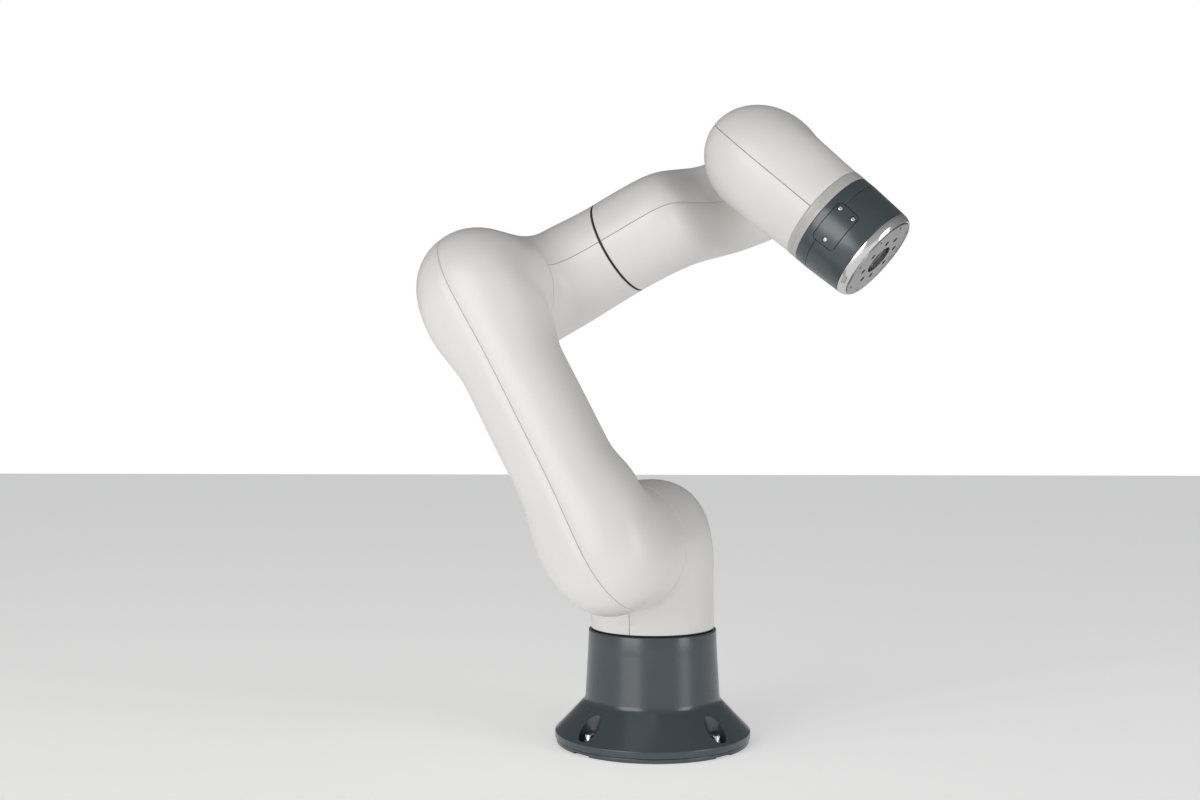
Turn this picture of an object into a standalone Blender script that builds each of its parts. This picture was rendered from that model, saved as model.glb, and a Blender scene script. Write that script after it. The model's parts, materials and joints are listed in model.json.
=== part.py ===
"""Six-axis collaborative robot arm with 760 mm reach, at its real size.

The world is in metres with +Z up and the origin at the centre of the base's underside.
Empties stand on the six joint axes: axes 1, 4 and 6 turn about their empty's local Z,
axes 2, 3 and 5 about its local Y. Each housing is a pair of half shells whose seam lies
in the local YZ plane, so a housing is set by two rails in that plane and a half width.
"""
import math

import bmesh
import bpy
from mathutils import Matrix, Vector

# Kinematic chain
AXIS2_HEIGHT = 0.213
LINK_LENGTH = 0.300
AXIS4_SEAM = 0.120
FOREARM_LENGTH = 0.300
FLANGE_REACH = 0.160

# Rest pose, degrees: positive tips an arm from straight up towards the arm's front
COLUMN_TURN = -20.95
LINK_TILT = -29.18
FOREARM_TILT = 92.825
HAND_TILT = 67.835

# Joint faces: distance of each face from the arm's middle plane, and the housing radius there
SHOULDER_PLANE = -0.075
SHOULDER_RADIUS = 0.065
WRIST_PLANE = 0.060
WRIST_RADIUS = 0.054
TUBE_RADIUS = 0.053
HAND_RADIUS = 0.052
COLUMN_RADIUS = 0.0657

# Walls, gaps and mesh steps
WALL = 0.0035
SEAM_GAP = 0.0003
GAP = 0.0003
LIP = 0.0013
ARC_STEPS = 12
RING_SIDES = 36
DRIVE_SIDES = 16
SMALL_SIDES = 10

# Housing rails in the seam plane, as (y, z) points in each joint's own frame
COLUMN_SHOULDER_START = -7.0
COLUMN_NECK = ((-0.0665, 0.1300), (-0.0670, 0.1410), (-0.0675, 0.1470), (-0.0715, 0.1478))
LINK_DOME = -0.122
LINK_TIP = -0.183
LINK_FRONT = -0.1765
LINK_BACK = -0.0790
LINK_NECK = ((-0.0770, 0.0656), (-0.0785, 0.0662), (LINK_BACK, 0.0675), (LINK_BACK, 0.0720))
LINK_FRONT_RAIL = ((LINK_TIP, 0.0), (LINK_TIP, 0.030), (LINK_FRONT, 0.060), (LINK_FRONT, 0.095))
LINK_BACK_FLAT = 0.100
LINK_WIDTHS = (0.0650, 0.0610, 0.0500, 0.0500)
LINK_SQUARENESS = 0.5
COLUMN_SQUARENESS = 0.15
FOREARM_NECK = ((-0.0715, 0.0654), (-0.0660, 0.0665), (-0.0610, 0.0720), (-0.0580, 0.0800))
FOREARM_BACK = ((-0.0580, 0.0800), (-0.0550, 0.0890), (-TUBE_RADIUS, 0.0990))
FOREARM_SHOULDER_WIDTH = 0.0560
WRIST_DOME = 0.080
WRIST_TIP = 0.132
WRIST_HEEL = ((TUBE_RADIUS, 0.012), (0.055, 0.022), (0.060, 0.032))
WRIST_SLOPE = ((0.060, 0.032), (0.070, 0.052), (0.092, 0.070), (0.108, 0.095))
WRIST_CROWN = ((0.108, 0.095), (0.124, 0.120), (WRIST_TIP, 0.150))
WRIST_BELLY_START = 0.055
WRIST_BELLY = ((-TUBE_RADIUS, WRIST_BELLY_START), (-TUBE_RADIUS, 0.095), (-0.022, 0.090), (0.022, 0.103))
WRIST_THROAT = ((0.022, 0.103), (0.036, 0.107), (0.046, 0.1115), (0.052, 0.1160))
WRIST_NECK = ((0.052, 0.1160), (0.055, 0.1180), (0.0585, 0.1200), (0.0597, 0.1238))
HAND_DOME = -0.026
HAND_TIP = -0.060
HAND_DOME_RADIUS = 0.0540
HAND_BACK_RADIUS = 0.0572
HAND_NECK = ((0.0570, 0.0545), (0.0530, 0.0556), (0.0520, 0.0576), (0.0515, 0.0620))
HAND_BACK = ((0.0515, 0.0620), (0.0512, 0.0650), (HAND_RADIUS, 0.0720))
HAND_NECK_WIDTH = 0.0540

# Base casting, its plate and its bolts
PLATE_RADIUS = 0.1025
PLATE_THICKNESS = 0.0045
BASE_RADIUS = 0.104
BASE_TOP = 0.1190
BASE_BORE = 0.060
BASE_PROFILE = ((0.1034, 0.0048), (BASE_RADIUS, 0.0058), (BASE_RADIUS, 0.0108), (0.1030, 0.0128),
                (0.0745, 0.0425), (0.0724, 0.0460), (0.0714, 0.0510), (0.0702, 0.0680),
                (0.0686, 0.1000), (0.0680, 0.1176), (0.0666, BASE_TOP))
SEAL_INNER = 0.0605
SEAL_OUTER = 0.0647
SEAL_THICKNESS = 0.0014
BOLT_CIRCLE = 0.0905
BOLT_SEAT = 0.0125
BOLT_HOLE = 0.0036
BOLT_SHANK = 0.0030
BOLT_FOOT = 0.0010
BOLT_HEAD = 0.0050
BOLT_HEAD_HEIGHT = 0.0060
BOLT_SOCKET = 0.0028
BOLT_SOCKET_DEPTH = 0.0032
BOLT_CHAMFER = 0.0006
WASHER_RADIUS = 0.0062
WASHER_THICKNESS = 0.0016
POCKET_RADIUS = 0.0113
POCKET_TOP = 0.070
BOLT_ANGLES = (-135, -45, -192, 12, -240, 60)

# Connector panel on the back of the base
PANEL_WIDTH = 0.080
PANEL_HEIGHT = 0.056
PANEL_MIDDLE = 0.070
PANEL_THICKNESS = 0.003
PANEL_FRAME = 0.007
BOSS_FACE = 0.076
BOSS_ROOT = 0.0605
WINDOW_ROOT = 0.040
CONNECTOR_FLANGE = 0.003
CONNECTOR_RIM = 0.004
CONNECTORS = (("power_connector", -0.021, 0.074, 0.0120, 0.0090, 0.013),
              ("data_connector", 0.010, 0.078, 0.0085, 0.0060, 0.011),
              ("network_connector", 0.029, 0.060, 0.0065, 0.0045, 0.010))
GROUND_STUD_HEIGHT = 0.052
GROUND_STUD_PROFILE = ((0.0, 0.0), (0.0060, 0.0), (0.0060, 0.004), (0.0030, 0.004), (0.0030, 0.012),
                       (0.0, 0.012))

# Hand: stations along axis 6 measured from axis 5
LIGHT_START = 0.085
LIGHT_END = 0.096
COLLAR_END = 0.1090
HOUSING_END = 0.1495
HOUSING_RADIUS = 0.0497
RIM_END = 0.1585
COVER_LENGTH = 0.044
COVER_WIDTH = 0.025
COVER_MIDDLE = 0.1170
COVER_CORNER = 0.004
COVER_THICKNESS = 0.0022
COVER_PROUD = 0.0002
COVER_SCREWS = ((-0.0170, 0.0083), (-0.0170, -0.0083), (0.0165, 0.0))
COVER_SCREW_RECESS = 0.0026
COVER_SCREW_PROFILE = ((0.0, -0.0009), (0.0022, -0.0009), (0.0022, 0.0), (0.0018, 0.0003),
                       (0.0010, 0.0003), (0.0010, -0.0004), (0.0, -0.0004))
COLLAR_WALL = 0.006

# Tool flange: 50 mm hole circle with a centring bore, and small outer holes
FLANGE_RADIUS = 0.0448
CENTRE_BORE = 0.01575
CENTRE_DEPTH = 0.008
TOOL_CIRCLE = 0.025
TOOL_HOLE = 0.0030
OUTER_CIRCLE = 0.0405
OUTER_HOLE = 0.0016
TOOL_HOLES = 8
HOLE_DEPTH = 0.006
RIM_PROFILE = ((0.0495, 0.0), (0.0494, 0.0030), (0.0484, 0.0060))
RIM_MOUTH = 0.0467

# Drives: radius of each size, and the parts' places along the drive's axis
LARGE_DRIVE = 0.050
MIDDLE_DRIVE = 0.040
SMALL_DRIVE = 0.038
HOLLOW_SHAFT = 0.0075
WINDING_SHARE = 0.66
BRAKE_SHARES = (0.70, 0.94)
ROTOR_CLEARANCE = 0.001
STATOR_SPAN = (0.004, 0.020)
ROTOR_SPAN = (0.002, 0.034)
BRAKE_SPAN = (0.022, 0.030)
GEAR_BORE = 0.009
GEAR_STEPS = (0.010, 0.012)
GEAR_NOSE = 0.8

# Each drive's start and its gear's start along the joint axis, in the frames of the two bodies
DRIVE_1_PLACES = (0.070, 0.125)
DRIVE_2_PLACES = (-0.030, -0.078)
DRIVE_3_PLACES = (-0.080, -0.071)
DRIVE_4_PLACES = (0.070, 0.005)
DRIVE_5_PLACES = (0.066, 0.056)
DRIVE_6_PLACES = (0.090, 0.1365)


def clear_scene():
    for item in list(bpy.data.objects):
        bpy.data.objects.remove(item, do_unlink=True)


def finish_material(name, color, roughness, metallic):
    material = bpy.data.materials.new(name)
    material.use_nodes = True
    shader = material.node_tree.nodes["Principled BSDF"]
    shader.inputs["Base Color"].default_value = (*color, 1.0)
    shader.inputs["Roughness"].default_value = roughness
    shader.inputs["Metallic"].default_value = metallic
    return material


def make_materials():
    return {
        "shell": finish_material("white_shell", (0.80, 0.79, 0.77), 0.38, 0.0),
        "casting": finish_material("slate_casting", (0.085, 0.105, 0.120), 0.50, 0.2),
        "seal": finish_material("black_rubber", (0.015, 0.015, 0.015), 0.75, 0.0),
        "light": finish_material("light_ring", (0.62, 0.62, 0.61), 0.30, 0.0),
        "steel": finish_material("polished_steel", (0.72, 0.72, 0.73), 0.18, 1.0),
        "flange": finish_material("machined_steel", (0.62, 0.62, 0.63), 0.30, 1.0),
        "plastic": finish_material("black_plastic", (0.03, 0.03, 0.035), 0.45, 0.0),
        "copper": finish_material("motor_winding", (0.45, 0.24, 0.12), 0.40, 0.6),
        "board": finish_material("circuit_board", (0.02, 0.12, 0.06), 0.50, 0.0),
    }


def axis_empty(name, parent, location, tilt=0.0, turn=0.0):
    empty = bpy.data.objects.new(name, None)
    bpy.context.scene.collection.objects.link(empty)
    empty.parent = parent
    empty.location = location
    empty.rotation_euler = (0.0, math.radians(tilt), math.radians(turn))
    return empty


def add_object(name, mesh, material, parent, matrix=None):
    data = bpy.data.meshes.new(name)
    bmesh.ops.recalc_face_normals(mesh, faces=mesh.faces)
    mesh.to_mesh(data)
    mesh.free()
    data.materials.append(material)
    data.shade_smooth()
    data.set_sharp_from_angle(angle=math.radians(35))
    item = bpy.data.objects.new(name, data)
    bpy.context.scene.collection.objects.link(item)
    item.parent = parent
    if matrix is not None:
        item.matrix_local = matrix
    return item


# Curves in the seam plane; every curve maps 0..1 to a (y, z) point

def line(start, end):
    return lambda u: Vector(start).lerp(Vector(end), u)


def arc(centre, reach_y, reach_z, first, last):
    def point(u):
        angle = math.radians(first + (last - first) * u)
        return Vector((centre[0] + reach_y * math.cos(angle), centre[1] + reach_z * math.sin(angle)))
    return point


def bend(start, lead_out, lead_in, end):
    def point(u):
        a, b, c, d = (Vector(p) for p in (start, lead_out, lead_in, end))
        v = 1.0 - u
        return a * v ** 3 + b * 3 * v * v * u + c * 3 * v * u * u + d * u ** 3
    return point


def mirrored(curve, height):
    def point(u):
        y, z = curve(1.0 - u)
        return Vector((y, height - z))
    return point


def stations(stages):
    """Sample (outer, inner, half width) along stages of (outer, inner, width, width, count)."""
    rows = []
    for outer, inner, width_in, width_out, count in stages:
        for step in range(count):
            u = step / count
            ease = u * u * (3.0 - 2.0 * u)
            rows.append((outer(u), inner(u), width_in + (width_out - width_in) * ease))
    outer, inner, _, width_out, _ = stages[-1]
    rows.append((outer(1.0), inner(1.0), width_out))
    return rows


def with_power(rows, squareness):
    """Add each station's superellipse power: 2 at both ends, squarer towards the middle."""
    last = len(rows) - 1
    return [(*row, 2.0 + squareness * math.sin(math.pi * number / last) ** 2)
            for number, row in enumerate(rows)]


def half_section(row, inset, side):
    """Half of a superellipse whose facets touch the true section from outside."""
    outer, inner, half_width, power = row
    centre = (outer + inner) / 2
    chord = (outer - inner) / 2
    direction = chord.normalized()
    outside = 1.0 / math.cos(math.pi / ARC_STEPS / 2) if inset == 0.0 else 1.0
    reach = chord.length - inset
    width = half_width - inset
    points = []
    for step in range(ARC_STEPS + 1):
        angle = math.pi * step / ARC_STEPS
        cosine = math.cos(angle)
        sine = max(0.0, math.sin(angle))
        stretch = outside if 0 < step < ARC_STEPS else 1.0
        along = centre + direction * (math.copysign(abs(cosine) ** (2 / power), cosine) * reach * stretch)
        across = max(SEAM_GAP / 2, sine ** (2 / power) * width * stretch)
        points.append((side * across, along.x, along.y))
    return points


def half_shell(name, stages, squareness, side, material, parent):
    mesh = bmesh.new()
    rows = with_power(stations(stages), squareness)
    skins = []
    for inset in (0.0, WALL):
        skins.append([[mesh.verts.new(p) for p in half_section(row, inset, side)] for row in rows])
    outside, inside = skins
    for skin in skins:
        for lower, upper in zip(skin, skin[1:]):
            for step in range(ARC_STEPS):
                mesh.faces.new((lower[step], lower[step + 1], upper[step + 1], upper[step]))
    for end in (0, -1):
        for step in range(ARC_STEPS):
            mesh.faces.new((outside[end][step], outside[end][step + 1],
                            inside[end][step + 1], inside[end][step]))
    for edge in (0, -1):
        for row in range(len(rows) - 1):
            mesh.faces.new((outside[row][edge], outside[row + 1][edge],
                            inside[row + 1][edge], inside[row][edge]))
    return add_object(name, mesh, material, parent)


def shell_pair(name, stages, material, parent, squareness=0.0):
    half_shell(name + "_shell_left", stages, squareness, -1, material, parent)
    half_shell(name + "_shell_right", stages, squareness, 1, material, parent)


def turned(profile, sides, start=0.0):
    """Turn a closed (radius, height) profile about Z; a zero radius makes one pole vertex."""
    mesh = bmesh.new()
    rings = []
    for radius, height in profile:
        if radius == 0.0:
            rings.append([mesh.verts.new((0.0, 0.0, height))])
            continue
        ring = []
        for side in range(sides):
            angle = start + 2 * math.pi * side / sides
            ring.append(mesh.verts.new((radius * math.cos(angle), radius * math.sin(angle), height)))
        rings.append(ring)
    for first, second in zip(rings, rings[1:] + rings[:1]):
        if len(first) == 1 and len(second) == 1:
            continue
        for side in range(sides):
            after = (side + 1) % sides
            if len(first) == 1:
                mesh.faces.new((first[0], second[side], second[after]))
            elif len(second) == 1:
                mesh.faces.new((first[side], first[after], second[0]))
            else:
                mesh.faces.new((first[side], first[after], second[after], second[side]))
    return mesh


def ring_profile(inner, outer, low, high):
    return [(inner, low), (outer, low), (outer, high), (inner, high)]


def block(low, high):
    mesh = bmesh.new()
    bmesh.ops.create_cube(mesh, size=1.0)
    size = Vector(high) - Vector(low)
    middle = (Vector(high) + Vector(low)) / 2
    mesh.transform(Matrix.Translation(middle) @ Matrix.Diagonal((*size, 1.0)))
    return mesh


def cutter(name, meshes, parent, matrix=None):
    """Join separate meshes into one hidden cutting tool."""
    joined = bmesh.new()
    for mesh in meshes:
        scratch = bpy.data.meshes.new("scratch")
        bmesh.ops.recalc_face_normals(mesh, faces=mesh.faces)
        mesh.to_mesh(scratch)
        mesh.free()
        joined.from_mesh(scratch)
        bpy.data.meshes.remove(scratch)
    data = bpy.data.meshes.new(name)
    joined.to_mesh(data)
    joined.free()
    tool = bpy.data.objects.new(name, data)
    bpy.context.scene.collection.objects.link(tool)
    tool.parent = parent
    if matrix is not None:
        tool.matrix_local = matrix
    tool.hide_render = True
    tool.display_type = "WIRE"
    return tool


def boolean(item, tool, operation="DIFFERENCE"):
    modifier = item.modifiers.new(tool.name, "BOOLEAN")
    modifier.operation = operation
    modifier.solver = "EXACT"
    modifier.object = tool


# Housing shapes, each in the frame of its own joint empty

def column_stages():
    face = SHOULDER_PLANE + GAP
    radius = SHOULDER_RADIUS
    foot = BASE_TOP + SEAL_THICKNESS + 2 * GAP
    lower = AXIS2_HEIGHT - radius
    shoulder = arc((0.0, AXIS2_HEIGHT), radius, radius, COLUMN_SHOULDER_START, 90.0)
    width = COLUMN_RADIUS
    return [
        (line((width, foot), shoulder(0.0)), line((-width, foot), COLUMN_NECK[0]), width, radius, 2),
        (shoulder, bend(*COLUMN_NECK), radius, radius, 5),
        (line(shoulder(1.0), (face, AXIS2_HEIGHT + radius)), line(COLUMN_NECK[-1], (face, lower)),
         radius, radius, 2),
    ]


def link_stages():
    face = SHOULDER_PLANE - GAP
    radius = SHOULDER_RADIUS
    middle = LINK_LENGTH / 2
    joint, dome, waist, centre = LINK_WIDTHS
    neck_top = LINK_NECK[-1]
    back_flat = (LINK_BACK, LINK_BACK_FLAT)
    lower_half = [
        (line((face, -radius), (LINK_DOME, -radius)), line((face, radius), LINK_NECK[0]), joint, joint, 1),
        (arc((LINK_DOME, 0.0), LINK_DOME - LINK_TIP, radius, -90.0, -180.0), bend(*LINK_NECK),
         joint, dome, 5),
        (bend(*LINK_FRONT_RAIL), line(neck_top, back_flat), dome, waist, 3),
        (line(LINK_FRONT_RAIL[-1], (LINK_FRONT, middle)), line(back_flat, (LINK_BACK, middle)),
         waist, centre, 1),
    ]
    upper_half = [(mirrored(outer, LINK_LENGTH), mirrored(inner, LINK_LENGTH), width_out, width_in, count)
                  for outer, inner, width_in, width_out, count in reversed(lower_half)]
    return lower_half + upper_half


def forearm_stages():
    face = SHOULDER_PLANE + GAP
    radius = SHOULDER_RADIUS
    tube = TUBE_RADIUS
    corner = tube - radius
    end = AXIS4_SEAM - LIP
    return [
        (line((face, -radius), (corner, -radius)), line((face, radius), FOREARM_NECK[0]),
         radius, radius, 1),
        (arc((corner, 0.0), radius, radius, -90.0, 0.0), bend(*FOREARM_NECK),
         radius, FOREARM_SHOULDER_WIDTH, 5),
        (line((tube, 0.0), (tube, end)), bend(*FOREARM_BACK, (-tube, end)),
         FOREARM_SHOULDER_WIDTH, tube, 3),
    ]


def wrist_stages():
    face = WRIST_PLANE + GAP
    radius = WRIST_RADIUS
    tube = TUBE_RADIUS
    axis5 = FOREARM_LENGTH - AXIS4_SEAM
    return [
        (bend((tube, LIP), *WRIST_HEEL), line((-tube, LIP), (-tube, WRIST_BELLY_START)), tube, tube, 2),
        (bend(*WRIST_SLOPE), bend(*WRIST_BELLY), tube, tube, 5),
        (bend(*WRIST_CROWN, (WRIST_TIP, axis5)), bend(*WRIST_THROAT), tube, radius, 3),
        (arc((WRIST_DOME, axis5), WRIST_TIP - WRIST_DOME, radius, 0.0, 90.0), bend(*WRIST_NECK),
         radius, radius, 4),
        (line((WRIST_DOME, axis5 + radius), (face, axis5 + radius)),
         line(WRIST_NECK[-1], (face, axis5 - radius)), radius, radius, 1),
    ]


def hand_stages():
    face = WRIST_PLANE - GAP
    radius = HAND_DOME_RADIUS
    back = HAND_BACK_RADIUS
    end = LIGHT_START - GAP
    return [
        (line((face, -radius), (HAND_DOME, -back)), line((face, radius), HAND_NECK[0]), radius, back, 3),
        (arc((HAND_DOME, 0.0), HAND_DOME - HAND_TIP, back, -90.0, -180.0), bend(*HAND_NECK),
         back, HAND_NECK_WIDTH, 5),
        (bend((HAND_TIP, 0.0), (HAND_TIP, 0.030), (-HAND_RADIUS, 0.055), (-HAND_RADIUS, end)),
         bend(*HAND_BACK, (HAND_RADIUS, end)), HAND_NECK_WIDTH, HAND_RADIUS, 3),
    ]


# Base

def base_cutter(parent):
    steps = []
    for angle in BOLT_ANGLES:
        turn = math.radians(angle)
        profile = [(0.0, -BOLT_SEAT), (BOLT_HOLE, -BOLT_SEAT), (BOLT_HOLE, BOLT_SEAT),
                   (POCKET_RADIUS, BOLT_SEAT), (POCKET_RADIUS, POCKET_TOP), (0.0, POCKET_TOP)]
        mesh = turned(profile, SMALL_SIDES)
        mesh.transform(Matrix.Translation((BOLT_CIRCLE * math.cos(turn), BOLT_CIRCLE * math.sin(turn), 0.0)))
        steps.append(mesh)
    return cutter("bolt_cutter", steps, parent)


def make_base(mats):
    tool = base_cutter(None)
    plate = add_object("base_plate", turned([(0.0, 0.0), (PLATE_RADIUS, 0.0), (PLATE_RADIUS, PLATE_THICKNESS),
                                             (0.0, PLATE_THICKNESS)], RING_SIDES), mats["casting"], None)
    boolean(plate, tool)
    profile = [(BASE_BORE, PLATE_THICKNESS + GAP), *BASE_PROFILE, (BASE_BORE, BASE_TOP)]
    housing = add_object("base_housing", turned(profile, RING_SIDES), mats["casting"], None)
    half = PANEL_WIDTH / 2
    low = PANEL_MIDDLE - PANEL_HEIGHT / 2
    high = PANEL_MIDDLE + PANEL_HEIGHT / 2
    boss = cutter("panel_boss", [block((-half, BOSS_ROOT, low), (half, BOSS_FACE, high))], None)
    window = cutter("panel_window", [block((-half + PANEL_FRAME, WINDOW_ROOT, low + PANEL_FRAME),
                                           (half - PANEL_FRAME, 2 * BOSS_FACE, high - PANEL_FRAME))], None)
    boolean(housing, boss, "UNION")
    boolean(housing, window)
    boolean(housing, tool)
    seal_low = BASE_TOP + GAP
    seal = ring_profile(SEAL_INNER, SEAL_OUTER, seal_low, seal_low + SEAL_THICKNESS)
    add_object("base_seal", turned(seal, RING_SIDES), mats["seal"], None)
    for number, angle in enumerate(BOLT_ANGLES, 1):
        make_base_bolt("base_bolt_%d" % number, math.radians(angle), mats["steel"])


def make_base_bolt(name, turn, material):
    """A socket head screw with its washer; the shank stops above the underside."""
    washer = BOLT_SEAT + GAP
    head = washer + WASHER_THICKNESS
    top = head + BOLT_HEAD_HEIGHT
    socket = top - BOLT_SOCKET_DEPTH
    profile = [(0.0, BOLT_FOOT), (BOLT_SHANK, BOLT_FOOT), (BOLT_SHANK, washer), (WASHER_RADIUS, washer),
               (WASHER_RADIUS, head), (BOLT_HEAD, head), (BOLT_HEAD, top - BOLT_CHAMFER),
               (BOLT_HEAD - BOLT_CHAMFER, top), (BOLT_SOCKET, top), (BOLT_SOCKET, socket), (0.0, socket)]
    place = Matrix.Translation((BOLT_CIRCLE * math.cos(turn), BOLT_CIRCLE * math.sin(turn), 0.0))
    add_object(name, turned(profile, SMALL_SIDES), material, None, place)


def make_connector(name, x, z, radius, socket, depth, material):
    """A round receptacle on the panel, with its socket open towards the back."""
    back = BOSS_FACE + GAP + PANEL_THICKNESS + GAP
    flange = CONNECTOR_FLANGE
    rim = radius + CONNECTOR_RIM
    profile = [(0.0, 0.0), (rim, 0.0), (rim, flange), (radius, flange),
               (radius, depth), (socket, depth), (socket, flange), (0.0, flange)]
    place = Matrix.Translation((x, back, z)) @ Matrix.Rotation(math.radians(-90), 4, "X")
    add_object(name, turned(profile, SMALL_SIDES + 2), material, None, place)


def make_connector_panel(mats):
    half = PANEL_WIDTH / 2
    low = PANEL_MIDDLE - PANEL_HEIGHT / 2
    high = PANEL_MIDDLE + PANEL_HEIGHT / 2
    front = BOSS_FACE + GAP
    add_object("connector_panel", block((-half, front, low), (half, front + PANEL_THICKNESS, high)),
               mats["flange"], None)
    for connector in CONNECTORS:
        make_connector(*connector, mats["plastic"])
    back = front + PANEL_THICKNESS + GAP
    place = Matrix.Translation((0.0, back, GROUND_STUD_HEIGHT)) @ Matrix.Rotation(math.radians(-90), 4, "X")
    add_object("ground_stud", turned(GROUND_STUD_PROFILE, SMALL_SIDES), mats["steel"], None, place)


# Hand end

def tube(name, start, end, radius_in, radius_out, wall, material, parent):
    profile = [(radius_in - wall, start), (radius_in, start), (radius_out, end), (radius_out - wall, end)]
    return add_object(name, turned(profile, RING_SIDES), material, parent)


def hand_surface(station):
    """Outer radius of the collar and the housing at a station along axis 6."""
    share = max(0.0, (station - COLLAR_END) / (HOUSING_END - COLLAR_END))
    return HAND_RADIUS + (HOUSING_RADIUS - HAND_RADIUS) * share


def curved_plate(grow, above, below):
    """A rounded plate wrapped round axis 6 on the -Y side, between two offsets from the surface."""
    half = COVER_LENGTH / 2 + grow
    reach = COVER_WIDTH / 2 + grow
    corner = COVER_CORNER + grow
    ends = [(half - corner + corner * math.sin(a), reach - corner + corner * math.cos(a))
            for a in (math.radians(d) for d in (0.0, 30.0, 60.0, 85.0))]
    middle = [(half * 0.4, reach), (0.0, reach)]
    right = list(reversed(ends)) + middle
    columns = right + [(-across, along) for across, along in reversed(right[:-1])]
    mesh = bmesh.new()
    rows = []
    for across, along in columns:
        angle = across / HAND_RADIUS
        row = []
        for offset, shift in ((above, along), (above, -along), (-below, -along), (-below, along)):
            station = COVER_MIDDLE + shift
            radius = hand_surface(station) + offset
            row.append(mesh.verts.new((radius * math.sin(angle), -radius * math.cos(angle), station)))
        rows.append(row)
    for first, second in zip(rows, rows[1:]):
        for edge in range(4):
            after = (edge + 1) % 4
            mesh.faces.new((first[edge], first[after], second[after], second[edge]))
    mesh.faces.new(rows[0])
    mesh.faces.new(rows[-1])
    return mesh


def screw_places():
    """Frames of the cover screws: local Z points out of the housing."""
    places = []
    for across, along in COVER_SCREWS:
        station = COVER_MIDDLE + along
        turn = Matrix.Rotation(across / HAND_RADIUS, 4, "Z")
        out = Matrix.Translation((0.0, -hand_surface(station), station))
        places.append(turn @ out @ Matrix.Rotation(math.radians(90), 4, "X"))
    return places


def make_hand_end(mats, hand):
    tube("light_ring", LIGHT_START, LIGHT_END, HAND_RADIUS, HAND_RADIUS, WALL, mats["light"], hand)
    collar = tube("hand_collar", LIGHT_END + GAP, COLLAR_END, HAND_RADIUS, HAND_RADIUS, COLLAR_WALL,
                  mats["casting"], hand)
    housing = tube("hand_housing", COLLAR_END + GAP, HOUSING_END, HAND_RADIUS, HOUSING_RADIUS, COLLAR_WALL,
                   mats["casting"], hand)
    pocket = cutter("cover_pocket", [curved_plate(GAP, 0.010, COVER_THICKNESS)], hand)
    boolean(collar, pocket)
    boolean(housing, pocket)
    cover = add_object("hand_cover", curved_plate(0.0, COVER_PROUD, COVER_THICKNESS - GAP),
                       mats["casting"], hand)
    floor = COVER_SCREW_PROFILE[0][1] - GAP
    recess = [(0.0, floor), (COVER_SCREW_RECESS, floor), (COVER_SCREW_RECESS, COVER_THICKNESS),
              (0.0, COVER_THICKNESS)]
    tools = []
    for place in screw_places():
        tool = turned(recess, SMALL_SIDES)
        tool.transform(place)
        tools.append(tool)
    boolean(cover, cutter("screw_recesses", tools, hand))
    for number, place in enumerate(screw_places(), 1):
        add_object("cover_screw_%d" % number, turned(COVER_SCREW_PROFILE, SMALL_SIDES), mats["steel"],
                   hand, place)


def make_flange(mats, flange):
    """Local Z is axis 6 and the origin is at axis 5, so the face stands at the flange reach."""
    start = HOUSING_END + GAP
    above = FLANGE_REACH + CENTRE_DEPTH
    rim = [(FLANGE_RADIUS + GAP, start), *((radius, start + rise) for radius, rise in RIM_PROFILE),
           (RIM_MOUTH, RIM_END), (FLANGE_RADIUS + GAP, RIM_END)]
    add_object("flange_rim", turned(rim, RING_SIDES), mats["steel"], flange)
    disc = [(0.0, start), (FLANGE_RADIUS, start), (FLANGE_RADIUS, FLANGE_REACH), (0.0, FLANGE_REACH)]
    plate = add_object("tool_flange", turned(disc, RING_SIDES), mats["flange"], flange)
    holes = [turned([(0.0, FLANGE_REACH - CENTRE_DEPTH), (CENTRE_BORE, FLANGE_REACH - CENTRE_DEPTH),
                     (CENTRE_BORE, above), (0.0, above)], DRIVE_SIDES)]
    for number in range(TOOL_HOLES):
        for circle, radius, offset in ((TOOL_CIRCLE, TOOL_HOLE, 0.0), (OUTER_CIRCLE, OUTER_HOLE, 0.5)):
            turn = 2 * math.pi * (number + offset) / TOOL_HOLES
            low = FLANGE_REACH - HOLE_DEPTH
            hole = turned([(0.0, low), (radius, low), (radius, above), (0.0, above)], TOOL_HOLES)
            hole.transform(Matrix.Translation((circle * math.cos(turn), circle * math.sin(turn), 0.0)))
            holes.append(hole)
    boolean(plate, cutter("flange_cutter", holes, flange))


# Drives: one hollow-shaft motor with a strain wave gear on every axis

def make_drive(number, carrier, driven, matrix_fixed, matrix_driven, radius, mats):
    """Stator, rotor and brake sit on the carrier side, the gear unit on the driven side."""
    name = "axis%d_" % number
    winding = radius * WINDING_SHARE
    brake_in, brake_out = BRAKE_SHARES
    parts = [
        ("stator", ring_profile(winding, radius, *STATOR_SPAN), mats["copper"]),
        ("rotor_shaft", ring_profile(HOLLOW_SHAFT, winding - ROTOR_CLEARANCE, *ROTOR_SPAN), mats["flange"]),
        ("brake", ring_profile(radius * brake_in, radius * brake_out, *BRAKE_SPAN), mats["board"]),
    ]
    for part, profile, material in parts:
        add_object(name + part, turned(profile, DRIVE_SIDES), material, carrier, matrix_fixed)
    step, height = GEAR_STEPS
    gear = [(GEAR_BORE, 0.0), (radius, 0.0), (radius, step), (radius * GEAR_NOSE, height),
            (GEAR_BORE, height)]
    add_object(name + "gear_unit", turned(gear, DRIVE_SIDES), mats["steel"], driven, matrix_driven)


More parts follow.
